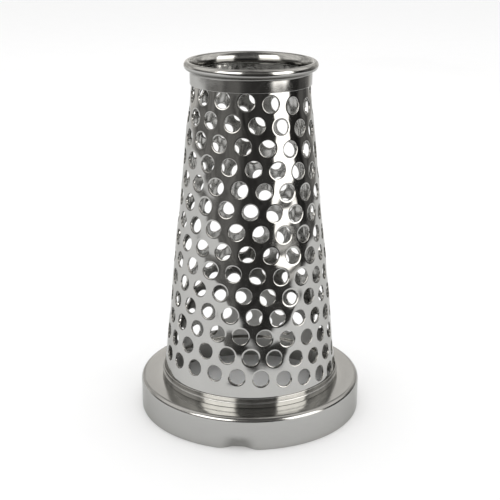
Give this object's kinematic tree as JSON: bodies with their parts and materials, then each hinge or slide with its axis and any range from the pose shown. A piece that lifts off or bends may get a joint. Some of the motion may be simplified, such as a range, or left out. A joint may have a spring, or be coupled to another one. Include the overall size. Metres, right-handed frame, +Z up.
{
  "type": "cheese mold",
  "caption": "Tall perforated steel cone, open at both ends, with a rolled rim at the narrow end and a wide pressed flange at the wide end that it stands on.",
  "frame": {"origin": "centre of the base, level with the lower edge of the flange's skirt", "axes": "+Z up along the cone's axis from the wide end to the rolled rim; -Y is the front, with the skirt's notch a little to its left (towards -X)"},
  "size_m": [0.087, 0.087, 0.1372],
  "materials": {
    "polished_steel": "mirror-polished stainless steel",
    "satin_steel": "satin stainless steel, turned finish"
  },
  "bodies": {
    "root": {"base_flange": "satin_steel", "neck_ring": "polished_steel", "perforated_cone": "polished_steel", "rim_collar": "polished_steel"}
  },
  "joints": []
}
